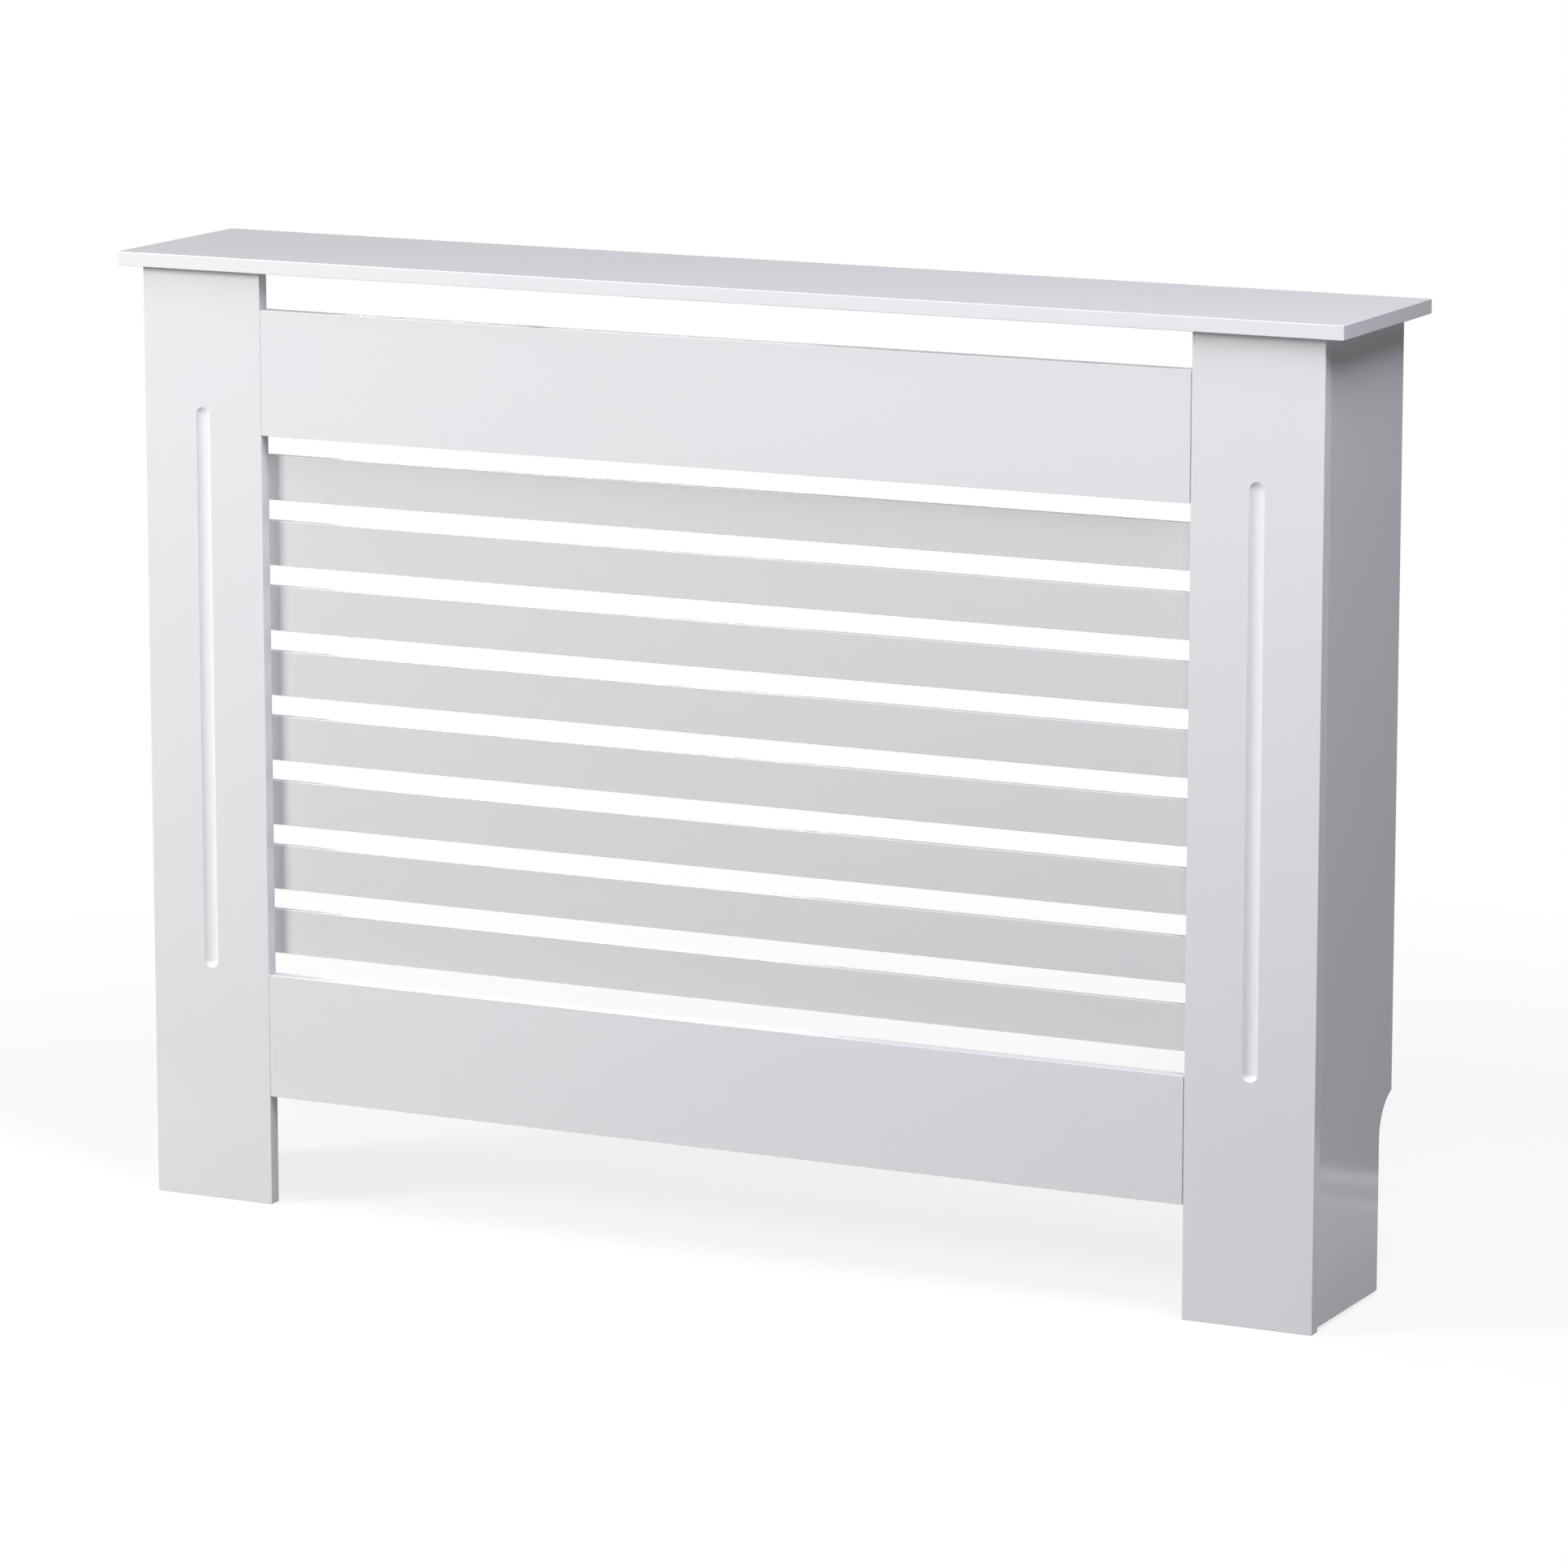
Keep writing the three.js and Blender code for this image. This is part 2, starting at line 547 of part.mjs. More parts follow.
const FINISHES = {
  paint: { color: 0xe9e9ee, roughness: 0.42, metalness: 0 },
  zinc: { color: 0xa9abae, roughness: 0.38, metalness: 1 },
  steel: { color: 0xc4c2ba, roughness: 0.32, metalness: 1 },
};

function named(name, shape, finish, matrix) {
  const mesh = new THREE.Mesh(geometryOf(shape), new THREE.MeshStandardMaterial(FINISHES[finish]));
  mesh.name = name;
  mesh.applyMatrix4(matrix);
  return mesh;
}

function groupOf(...meshes) {
  const group = new THREE.Group();
  group.add(...meshes);
  return group;
}

function standing(piece, finish) {
  return named(piece.name, piece.shape, finish, new THREE.Matrix4().makeTranslation(piece.at));
}

const cover = new THREE.Group();
cover.name = "radiator_cover";
cover.add(
  groupOf(standing(shelf, "paint"), ...sidePanels.map((panel) => standing(panel, "paint"))),
  groupOf(...legs.map((leg) => standing(leg, "paint")), ...rails.map((rail) => standing(rail, "paint"))),
  groupOf(...slats.map((slat) => standing(slat, "paint"))),
  groupOf(...fittings.map((f) => named(`${f.name}_cam`, camDisc(f.thickness), "zinc", f.matrix))),
  groupOf(...fittings.map((f) => named(`${f.name}_bolt`, camBolt(f.reach), "steel", f.matrix))),
  groupOf(...screws.map((s) => named(s.name, panScrew(s.length), "steel", s.matrix))),
  groupOf(...brackets.map((bracket) => standing(bracket, "steel"))),
);

export default cover;
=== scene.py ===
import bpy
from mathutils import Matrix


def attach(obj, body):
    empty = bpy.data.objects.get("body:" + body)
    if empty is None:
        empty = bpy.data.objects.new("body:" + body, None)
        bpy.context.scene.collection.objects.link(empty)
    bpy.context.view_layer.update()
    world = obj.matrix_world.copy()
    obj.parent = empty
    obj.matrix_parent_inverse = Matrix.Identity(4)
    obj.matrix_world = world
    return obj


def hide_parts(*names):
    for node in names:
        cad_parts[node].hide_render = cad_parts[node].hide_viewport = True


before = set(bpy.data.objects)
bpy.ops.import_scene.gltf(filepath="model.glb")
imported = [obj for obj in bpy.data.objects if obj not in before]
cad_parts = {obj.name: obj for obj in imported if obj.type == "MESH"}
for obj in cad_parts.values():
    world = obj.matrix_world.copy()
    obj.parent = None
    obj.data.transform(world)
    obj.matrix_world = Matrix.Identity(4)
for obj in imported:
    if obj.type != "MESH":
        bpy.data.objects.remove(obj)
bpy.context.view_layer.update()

# Radiator cover: satin white boards on zinc cams, plated screws and wall brackets.
# Lengths are in millimetres until a piece is made; +Z is up, the slatted front faces -Y.
import math

import bmesh
import bpy
import numpy as np
from mathutils import Matrix, Vector
from mathutils.geometry import tessellate_polygon

MM = 0.001

# ---- Sizes of the boards, as in the part's source ----
BOARD = 12  # thickness of every board but the slats
SHELF_LENGTH, SHELF_DEPTH = 1120, 190
LEG_WIDTH, LEG_HEIGHT = 114, 810
BODY_HALF = 541  # middle to the outside of a side panel
FRONT_Y, LEG_REAR_Y, SIDE_REAR_Y, WALL_Y = -85, -73, 83, 95
SIDE_FLOOR_GAP = 4
SKIRTING_DEPTH, SKIRTING_STRAIGHT, SKIRTING_RADIUS = 26, 132, 38
RAIL_HALF, RAIL_HEIGHT = 426.7, 107
RAIL_FEET = {"upper_rail": 671, "lower_rail": 96}
SLAT_COUNT, SLAT_HALF, SLAT_HEIGHT, SLAT_THICKNESS = 8, 457, 38.5, 6
SLAT_OPENING = RAIL_FEET["upper_rail"] - RAIL_FEET["lower_rail"] - RAIL_HEIGHT
SLAT_GAP = (SLAT_OPENING - SLAT_COUNT * SLAT_HEIGHT) / (SLAT_COUNT + 1)
GROOVE_WIDTH, GROOVE_FOOT, GROOVE_HEAD = 13.4, 204, 692

# ---- Where the boards differ from the part's source ----
GROOVE_DEPTH = 2.8  # 3.3 in the source; set here to the groove's shading in the photograph
RAIL_ENDS = (-426.65, 426.2)  # 0.55 mm shorter than in the source, so the right joint stands open
ARRIS, RAIL_ARRIS, SLAT_ARRIS = 0.6, 0.4, 0.5  # rounding between a face and an edge
JOINT_ARRIS = 0.35  # the same where a leg and its side panel meet
BOARD_CORNER, RAIL_CORNER, SLAT_CORNER = 0.9, 0.6, 0.8  # rounding of an outline's corners
# Painted light: edges are painted paler and arrises get a painted highlight.
EDGE_LACQUER_AND_LIGHT, LEG_EDGE_LACQUER_AND_LIGHT, ARRIS_LACQUER_AND_HIGHLIGHT = 0.3, 0.9, 0.7  # extra paint, and painted light: paler edges, highlit arrises
SUNK_RAMP = 0.3  # how much deeper a hollow gets while its extra paint and painted light grow to the full
SUNK_LEAN = 0.55  # cosine of the steepest slope on which a hollow gets extra paint and painted light

# ---- Sizes of the fittings ----
FIT = 0.3  # room round what turns or travels
CAM_POCKET, CAM_DISC = 7.5, 7.2  # radii
CAM_SKIN, CAM_RECESS = 2.5, 0.4  # board left under the pocket; disc's face below the board's
CAM_HEIGHT = BOARD - CAM_SKIN - CAM_RECESS
CAM_SETBACK = 24  # from the end of a board to the middle of its disc
CAM_OPEN, CAM_HOLLOW = 150, 3.8  # degrees from the tight place to the mouth; room for the head
CAM_CROSS, CAM_CROSS_CUT = (7.5, 1.4, 0.25), (1.2, 0.12, 0.2)  # cross_ring; pocket_profile
CAM_ARROW, CAM_ARROW_INSET, CAM_ARROW_CORNER, CAM_ARROW_CUT = 1.2, 1.5, 0.15, (0.4, 0.08, 0.05)
BOLT_HEAD, BOLT_NECK, BOLT_THREAD, BOLT_TIP = 2.8, 1.8, 2.9, 1.5  # radii
BOLT_INTO_EDGE, BOLT_INTO_FACE = 12.3, 8.5  # how far bolts reach past their board's end
LEG_CAM_HEIGHTS = (130, 660)
SHELF_CAM_YS = (-31, 47)
SCREW_THREAD, SCREW_TIP, SCREW_TAPER = 1.5, 0.12, 3  # radii; length of the point
SCREW_BITE = 8.5  # how far screws go into the board behind
PAN_HEAD_RADIUS = 3.3
# The head's outline: radius, height above its seat.
PAN_HEAD = ((3.2, 0), (3.3, 0.25), (3.28, 0.7), (3.05, 1.3), (2.6, 1.8), (2.05, 2.2))
PAN_CROSS, PAN_CROSS_CUT = (3.4, 0.8, 0.12), (1.0, 0.06, 0.12)  # cross_ring; pocket_profile
SLAT_SCREW_X, BRACKET_X, BRACKET_SCREW_Y = 442, 260, 79
BRACKET = dict(arm=25, width=16, thickness=1.6, bend=1.5, hole=2.2, inset=9, corner=0.5, arris=0.4)
BEYOND = 15  # further out than any disc reaches

# ---- Ways to lie: an outline's first and second axis, and the way of the thickness ----
FLAT = ((1, 0, 0), (0, 1, 0), (0, 0, 1))  # outline seen from above, thickness upwards
FRONTAL = ((1, 0, 0), (0, 0, 1), (0, -1, 0))  # seen from the front, thickness forwards
LATERAL = ((0, 1, 0), (0, 0, 1), (1, 0, 0))  # seen from the right, thickness to the right
SIDES = (("left", -1), ("right", 1))

# ---- Limits of the meshes ----
SAME_POINT = 1e-5  # points of a ring that are closer than this are one
SLIVER = 1e-9  # twice the area under which a triangle is left out
NO_LENGTH = 1e-12  # least length to divide by
WELD = 2e-6  # metres within which the points that a cut leaves become one
CREASE = 32  # degrees; steeper edges of a cut piece stay sharp


# ---- Outlines: rings of points that run anticlockwise ----

def unit(rows):
    return rows / np.linalg.norm(rows, axis=1)[:, None]


def softened(corners, radius, steps=5):
    """A ring with its corners rounded. Each corner becomes an arc that touches both its edges:
    it starts radius * tan(turn / 2) before the corner and turns about a centre beside the edge."""
    corners = np.array(corners, float)
    radius = np.broadcast_to(radius, len(corners)).astype(float)
    before, after = unit(corners - np.roll(corners, 1, 0)), unit(np.roll(corners, -1, 0) - corners)
    cross = before[:, 0] * after[:, 1] - before[:, 1] * after[:, 0]
    turn = np.arctan2(cross, (before * after).sum(1))
    start = corners - before * (radius * np.tan(abs(turn) / 2))[:, None]
    side = np.stack([-before[:, 1], before[:, 0]], 1) * (np.sign(turn) * radius)[:, None]
    angle = turn[:, None] * np.linspace(0, 1, steps + 1)
    c, s = np.cos(angle), np.sin(angle)
    swung = np.stack([c * side[:, :1] - s * side[:, 1:], s * side[:, :1] + c * side[:, 1:]], 2)
    ring = ((start + side)[:, None] - swung).reshape(-1, 2)
    return ring[np.linalg.norm(ring - np.roll(ring, 1, 0), axis=1) > SAME_POINT]


def rectangle(left, bottom, width, height, radius):
    right, top = left + width, bottom + height
    return softened([(left, bottom), (right, bottom), (right, top), (left, top)], radius)


def circle(radius, facets, x=0.0, y=0.0):
    a = np.linspace(0, 2 * np.pi, facets, endpoint=False)
    return np.stack([x + radius * np.cos(a), y + radius * np.sin(a)], 1)


def capsule(foot, head, width):
    """The path of a round cutter: half circles of the width about both ends of its travel."""
    steps = 28
    r = width / 2
    a = np.linspace(0, np.pi, steps + 1)
    upper = np.stack([r * np.cos(a), head - r + r * np.sin(a)], 1)
    lower = np.stack([-r * np.cos(a), foot + r - r * np.sin(a)], 1)
    return np.concatenate([upper, lower])


def side_outline():
    """A side panel from the right: the cut for the skirting is straight, then an arc that
    leaves at the rear edge, where cos(angle) = (depth - radius) / radius."""
    steps = 24
    rear = SIDE_REAR_Y
    cut = rear - SKIRTING_DEPTH
    leaving = math.acos((SKIRTING_DEPTH - SKIRTING_RADIUS) / SKIRTING_RADIUS)
    a = np.linspace(np.pi, leaving, steps + 1)
    curve = np.stack([cut + SKIRTING_RADIUS * (1 + np.cos(a)),
                      SKIRTING_STRAIGHT + SKIRTING_RADIUS * np.sin(a)], 1)
    foot = [(LEG_REAR_Y, SIDE_FLOOR_GAP), (cut, SIDE_FLOOR_GAP)]
    head = [(rear, LEG_HEIGHT), (LEG_REAR_Y, LEG_HEIGHT)]
    radius = [BOARD_CORNER] * 2 + [0] * (len(curve) - 1) + [BOARD_CORNER] * 3
    return softened(np.concatenate([foot, curve, head]), radius)


def cross_ring(length, width, corner):
    """The outline of a screwdriver cross, its arms along both axes."""
    a, b = length / 2, width / 2
    return softened([(b, -a), (b, -b), (a, -b), (a, b), (b, b), (b, a), (-b, a), (-b, b), (-a, b),
                     (-a, -b), (-b, -b), (-b, -a)], corner, 3)


# ---- Profiles: rows of inset, height, and the two parts of the surface's normal ----

def arc(inset, height, radius, start, end, steps, hollow=False):
    """Part of a circle: centre + radius * (cos a, sin a), whose normal points away from the
    centre, or towards it on a hollow."""
    a = np.radians(np.linspace(start, end, steps + 1))
    way = np.stack([np.cos(a), np.sin(a)], 1)
    return np.concatenate([np.array([inset, height]) + radius * way, -way if hollow else way], 1)


def rounded_edge(thickness, r, rear=None, steps=6):
    """The edge of a board from its rear face to its front face, with both arrises rounded."""
    rear = r if rear is None else rear
    return np.concatenate([arc(rear, rear, rear, -90, -180, steps),
                           arc(r, thickness - r, r, 180, 90, steps)])


def pocket_profile(depth, rim=0.25, fillet=0.4):
    """A bored or milled pocket: a softened rim, an upright wall and a fillet round the floor."""
    steps = 3
    return np.concatenate([arc(-rim, -rim, rim, 90, 0, steps),
                           arc(fillet, fillet - depth, fillet, 180, 270, steps, hollow=True)])


def cove_profile(width, depth):
    """A round-nosed cutter's groove: r = (width^2 / 4 + depth^2) / (2 depth), its centre above
    the face. The rim is softened by an arc that touches both the face and the cove, and the
    cove ends at a narrow flat strip along the middle."""
    rim, strip = 0.25, 0.5
    r = (width ** 2 / 4 + depth ** 2) / (2 * depth)
    up = r - depth
    out = math.sqrt((r + rim) ** 2 - (up + rim) ** 2)
    meet = math.degrees(math.atan2(up + rim, out))
    middle = math.degrees(math.asin(strip / 2 / r))
    return np.concatenate([arc(width / 2 - out, -rim, rim, 90, meet, 4)[:-1],
                           arc(width / 2, up, r, meet + 180, 270 - middle, 14, hollow=True)])


def turned_profile(radius, corners, step):
    """Rows for a turned piece from (radius, height) corners: each corner is eased by a short
    chamfer, long straight runs get a row every step, and each normal is square to its run."""
    ease = 0.06
    corners = np.array(corners, float)
    run = unit(np.diff(corners, axis=0))
    rows = [corners[:1]]
    for k in range(1, len(corners)):
        turns = k < len(corners) - 1
        first, last = rows[-1][-1], corners[k] - run[k - 1] * (ease if turns else 0)
        parts = max(1, round(np.linalg.norm(last - first) / step))
        rows.append(first + (last - first) * np.linspace(0, 1, parts + 1)[1:, None])
        if turns:
            rows.append(corners[k:k + 1] + run[k] * ease)
    rows = np.concatenate(rows)
    way = unit(np.gradient(rows, axis=0))
    return np.stack([radius - rows[:, 0], rows[:, 1], -way[:, 1], -way[:, 0]], 1)


# ---- Shapes: points, normals and faces ----

def ways_in(ring):
    """The way in at each point of a ring: (n1 + n2) / (1 + n1.n2), from its two edges' normals."""
    edge = unit(np.roll(ring, -1, 0) - ring)
    after = np.stack([-edge[:, 1], edge[:, 0]], 1)
    before = np.roll(after, 1, 0)
    return (before + after) / (1 + (before * after).sum(1))[:, None]


def carried(ring, profile):
    """A profile carried round a ring: ring + inset * way in, at the profile's height."""
    way = ways_in(ring)
    at = ring[None] + profile[:, None, :1] * way
    lie = profile[:, None, 2:3] * unit(way)
    tall = np.ones((1, len(ring), 1))
    return (np.concatenate([at, profile[:, None, 1:2] * tall], 2),
            np.concatenate([lie, profile[:, None, 3:] * tall], 2))


def grid_faces(rows, columns, first=0):
    """Four-sided faces of a grid whose rows close on themselves."""
    at = first + np.arange(rows * columns).reshape(rows, columns)
    turn = np.roll(at, -1, 1)
    return np.stack([at[:-1], turn[:-1], turn[1:], at[1:]], 2).reshape(-1, 4).tolist()


def plate(outline, edge, pockets=()):
    """A closed plate: its edge profile carried round the outline, with a cap on either face."""
    return capped(carried(outline, edge), pockets)


def capped(shell, pockets=()):
    """A shell closed by flat caps on its first and last rows, with pockets sunk in the last
    (+1) or the first (-1) cap, each as (ring, profile, cap)."""
    points, normals = shell
    edge = points[:, 0, 1:]
    rows, columns = points.shape[:2]
    faces = grid_faces(rows, columns)
    points, normals = [points.reshape(-1, 3)], [normals.reshape(-1, 3)]
    loops = {-1: [np.arange(columns)], 1: [np.arange((rows - 1) * columns, rows * columns)]}
    level = {-1: edge[0, 1], 1: edge[-1, 1]}
    count = rows * columns
    for ring, profile, face in pockets:
        at, lean = carried(ring, profile)
        at[..., 2] = level[face] + face * at[..., 2]
        lean[..., 2] *= face
        if face < 0:
            at, lean = at[:, ::-1], lean[:, ::-1]
        deep, wide = at.shape[:2]
        faces += grid_faces(deep, wide, count)
        faces.append((count + np.arange((deep - 1) * wide, deep * wide)).tolist())
        loops[face].append(count + np.arange(wide))
        points.append(at.reshape(-1, 3))
        normals.append(lean.reshape(-1, 3))
        count += deep * wide
    points, normals = np.concatenate(points), np.concatenate(normals)
    for face, rings in loops.items():
        faces += cap(points, rings, face)
    return points, normals, faces


def cap(points, rings, face):
    """The flat face inside the first ring and outside the others."""
    if len(rings) == 1:
        return [rings[0][::face].tolist()]
    index = np.concatenate(rings)
    flat = [[Vector((*points[i, :2], 0)) for i in ring] for ring in rings]
    triangles = index[np.array(tessellate_polygon(flat))]
    a, b, c = (points[triangles[:, k], :2] for k in range(3))
    area = (b - a)[:, 0] * (c - a)[:, 1] - (b - a)[:, 1] * (c - a)[:, 0]
    triangles = triangles[abs(area) > SLIVER]
    area = area[abs(area) > SLIVER]
    return np.where((area * face > 0)[:, None], triangles, triangles[:, ::-1]).tolist()


def threaded(shell, pitch, depth, start, end):
    """A screw thread cut into a turned shell: the radius drops by depth times a triangle wave of
    height / pitch - angle / 2 pi, and the cut fades in and out over one pitch."""
    points, normals = shell
    points = points.copy()
    turn = np.arctan2(points[..., 1], points[..., 0]) / (2 * np.pi)
    height = points[..., 2]
    wave = abs(2 * ((height / pitch - turn) % 1) - 1)
    fade = np.clip((height - start) / pitch, 0, 1) * np.clip((end - height) / pitch, 0, 1)
    radius = np.linalg.norm(points[..., :2], axis=2)
    points[..., :2] *= (1 - depth * wave * fade / radius)[..., None]
    along = np.roll(points, -1, 1) - np.roll(points, 1, 1)
    cut = np.cross(along, np.gradient(points, axis=0))
    cut /= np.maximum(np.linalg.norm(cut, axis=2), NO_LENGTH)[..., None]
    return points, np.where((fade > 0)[..., None], cut, normals)


def placed(shape, axes, origin):
    """A shape moved from its own frame to where that frame stands."""
    points, normals, faces = shape
    turn = np.array(axes, float)
    return points @ turn + np.array(origin, float), normals @ turn, faces


# ---- Pieces ----

def lacquer_and_light_mask(points, normals, face, edge_lacquer_and_light):
    """The mask of extra paint and painted light at each point of a board: none on its two faces,
    the full amount on what is sunk in a face, and edge_lacquer_and_light sin(a) +
    ARRIS_LACQUER_AND_HIGHLIGHT sin(2a) round its edge, where a is the angle between the surface's
    normal and the face's. The paint is rougher and paler where it is high; the paler colour is
    painted light, a painted highlight along arrises and painted brightening on edges and in
    hollows."""
    lean, level = unit(normals) @ face, points @ face
    below = np.where(lean > 0, level.max() - level, level - level.min())
    sunk = np.clip((below - ARRIS / 2) / SUNK_RAMP, 0, 1) * (abs(lean) > SUNK_LEAN)
    sine = np.sqrt(np.clip(1 - lean ** 2, 0, 1))
    return np.maximum(edge_lacquer_and_light * sine + ARRIS_LACQUER_AND_HIGHLIGHT * 2 * sine * abs(lean), sunk)


def stand(name, shape, material, slot, *nodes, face=None, edge_lacquer_and_light=EDGE_LACQUER_AND_LIGHT):
    """Makes a piece of a shape in the part's frame, in place of the CAD nodes it stands for. A
    board is given by its face's normal and also gets its mask of extra paint and painted light
    as an attribute."""
    points, normals, faces = shape
    mesh = bpy.data.meshes.new(name)
    mesh.from_pydata((points * MM).tolist(), [], faces)
    mesh.shade_smooth()
    mesh.normals_split_custom_set_from_vertices(unit(normals).tolist())
    if face is not None:
        lacquer_and_painted_light = lacquer_and_light_mask(points, normals, face, edge_lacquer_and_light)
        mesh.attributes.new("lacquer_and_painted_light", "FLOAT", "POINT").data.foreach_set("value", lacquer_and_painted_light)
    piece = bpy.data.objects.new(name, mesh)
    bpy.context.scene.collection.objects.link(piece)
    mesh.materials.append(material)
    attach(piece, "root")
    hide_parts(*nodes)
    return piece


def settled(piece):
    """Makes a piece's mesh the one that its modifiers give."""
    shown = piece.evaluated_get(bpy.context.evaluated_depsgraph_get())
    mesh = bpy.data.meshes.new_from_object(shown)
    piece.modifiers.clear()
    piece.data = mesh


def carve(piece, *cutters):
    """Cuts shapes out of a finished piece. Edges stay crisp and flat faces stay flat, because each
    normal leans towards the largest face round it."""
    for shape in cutters:
        mesh = bpy.data.meshes.new("cutter")
        mesh.from_pydata((shape[0] * MM).tolist(), [], shape[2])
        cutter = bpy.data.objects.new("cutter", mesh)
        bpy.context.scene.collection.objects.link(cutter)
        step = piece.modifiers.new("cut", "BOOLEAN")
        step.operation, step.solver, step.object = "DIFFERENCE", "EXACT", cutter
        settled(piece)
        bpy.data.objects.remove(cutter)
    net = bmesh.new()
    net.from_mesh(piece.data)
    bmesh.ops.remove_doubles(net, verts=net.verts, dist=WELD)
    net.to_mesh(piece.data)
    net.free()
    piece.data.set_sharp_from_angle(angle=math.radians(CREASE))
    piece.modifiers.new("even", "WEIGHTED_NORMAL").keep_sharp = True
    settled(piece)


# ---- Materials ----

class Value:
    """A number that varies over a surface. Each operator adds a Math node."""

    def __init__(self, finish, socket):
        self.finish, self.socket = finish, socket

    def _math(self, operation, *values):
        node = self.finish.node("ShaderNodeMath", {"operation": operation}, *values)
        return Value(self.finish, node.outputs[0])

    def __add__(self, other):
        return self._math("ADD", self, other)

    def __radd__(self, other):
        return self._math("ADD", other, self)

    def __mul__(self, other):
        return self._math("MULTIPLY", self, other)

    def between(self, low, high):
        """0 below low, 1 above high, and an even slope in between."""
        node = self.finish.node("ShaderNodeMapRange", {"clamp": True}, self, low, high, 0.0, 1.0)
        return Value(self.finish, node.outputs[0])


class Finish:
    """One procedural material: a Principled shader and what feeds it."""

    def __init__(self, name, **constants):
        self.material = bpy.data.materials.new(name)
        self.material.use_nodes = True
        self.tree = self.material.node_tree
        self.tree.nodes.clear()
        self.shader = self.node("ShaderNodeBsdfPrincipled", {}, **constants)
        self.node("ShaderNodeOutputMaterial", {}, self.shader.outputs[0])
        self.place = self.node("ShaderNodeTexCoord", {}).outputs["Object"]

    def node(self, kind, settings, *inputs, **named):
        """Adds a node: its settings first, then the values or links of its sockets."""
        node = self.tree.nodes.new(kind)
        for key, value in settings.items():
            setattr(node, key, value)
        pairs = list(zip([s for s in node.inputs if s.enabled], inputs))
        pairs += [(node.inputs[key], value) for key, value in named.items()]
        for socket, value in pairs:
            if isinstance(value, Value):
                value = value.socket
            if isinstance(value, bpy.types.NodeSocket):
                self.tree.links.new(value, socket)
            elif value is not None:
                socket.default_value = value
        return node

    def noise(self, scale, detail=2.0, roughness=0.5, stretch=(1, 1, 1)):
        """Noise of about 1 / scale metres on Object coordinates, stretched along an axis."""
        at = self.node("ShaderNodeMapping", {}, self.place, None, None, stretch).outputs[0]
        node = self.node("ShaderNodeTexNoise", {"noise_dimensions": "3D"}, at,
                         Scale=scale, Detail=detail, Roughness=roughness)
        return Value(self, node.outputs[0])

    def attribute(self, name):
        node = self.node("ShaderNodeAttribute", {"attribute_name": name})
        return Value(self, node.outputs["Fac"])

    def tones(self, mask, first, second):
        """One colour where the mask is 0 and the other where it is 1."""
        node = self.node("ShaderNodeMix", {"data_type": "RGBA"}, mask, first, second)
        return node.outputs["Result"]

    def feed(self, socket, value):
        self.tree.links.new(getattr(value, "socket", value), self.shader.inputs[socket])

    def relief(self, height, distance, strength):
        """Bump of a height from 0 to 1, which stands for this many metres."""
        bump = self.node("ShaderNodeBump", {}, Strength=strength, Distance=distance, Height=height)
        self.feed("Normal", bump.outputs[0])


def linear(hex_colour):
    """A display colour as the linear values that a shader takes."""
    parts = [int(hex_colour[i:i + 2], 16) / 255 for i in (0, 2, 4)]
    return [p / 12.92 if p < 0.04045 else ((p + 0.055) / 1.055) ** 2.4 for p in parts] + [1.0]


def satin_paint(name, cool, warm, thick, grain):
    """Sprayed satin paint on fibreboard: a fine orange peel, faint cloudy tone from uneven
    spraying, and sheen that changes a little along the spray passes, which run along grain. The
    edges and grooves drink more paint, so they are duller and coarser. The thick colour on them
    is painted light: a painted highlight along arrises and painted brightening on edges and in
    grooves."""
    paint = Finish(name, IOR=1.5)
    cloud = paint.noise(7.0, detail=3.0, roughness=0.55)
    passes = paint.noise(26.0, stretch=grain)
    peel = paint.noise(330.0, roughness=0.6)
    fleck = paint.noise(1900.0, detail=1.0)
    lacquer_and_painted_light = paint.attribute("lacquer_and_painted_light")
    faces = paint.tones((cloud * 0.7 + passes * 0.3).between(0.3, 0.7), linear(cool), linear(warm))
    # Where the mask is high the colour goes to the thick one, which is painted light, not a tone
    # of the paint.
    paint.feed("Base Color", paint.tones(lacquer_and_painted_light * (0.8 + cloud * 0.4), faces, linear(thick)))
    paint.feed("Roughness", 0.12 + passes * 0.015 + fleck * 0.015 + lacquer_and_painted_light * 0.1)
    paint.relief((peel * 0.8 + fleck * 0.2) * (1 + lacquer_and_painted_light * 0.6), distance=0.00003, strength=0.35)
    return paint.material


def zinc_casting():
    """Die-cast zinc: a dull grey skin with a fine grain and darker, rougher blooms."""
    zinc = Finish("zinc_casting", Metallic=1.0)
    grain = zinc.noise(1500.0, detail=3.0, roughness=0.6)
    bloom = zinc.noise(260.0, detail=3.0, roughness=0.6).between(0.35, 0.7)
    zinc.feed("Base Color", zinc.tones(bloom, linear("b4b6ba"), linear("96989c")))
    zinc.feed("Roughness", 0.36 + bloom * 0.18)
    zinc.relief(grain, distance=0.00004, strength=0.5)
    return zinc.material


def plated_steel():
    """Zinc-plated steel: bright, with fine drawing marks and a few dull clouds."""
    steel = Finish("plated_steel", Metallic=1.0)
    marks = steel.noise(2600.0, stretch=(0.06, 1, 1))
    cloud = steel.noise(190.0, detail=3.0, roughness=0.55).between(0.35, 0.75)
    steel.feed("Base Color", steel.tones(cloud, linear("cfcdc6"), linear("b3b1ac")))
    steel.feed("Roughness", 0.24 + cloud * 0.14 + marks * 0.08)
    steel.relief(marks, distance=0.00002, strength=0.4)
    return steel.material


# Each paint's third colour is painted light, shown on edges, arrises and hollows.
BOARD_PAINT = satin_paint("white_board", "e9e7ea", "eae7e9", "f3f1f4", (0.35, 1, 1))
SLAT_PAINT = satin_paint("white_slat", "dfdcde", "e0ddde", "ebe8ea", (0.2, 1, 1))
ZINC = zinc_casting()
STEEL = plated_steel()

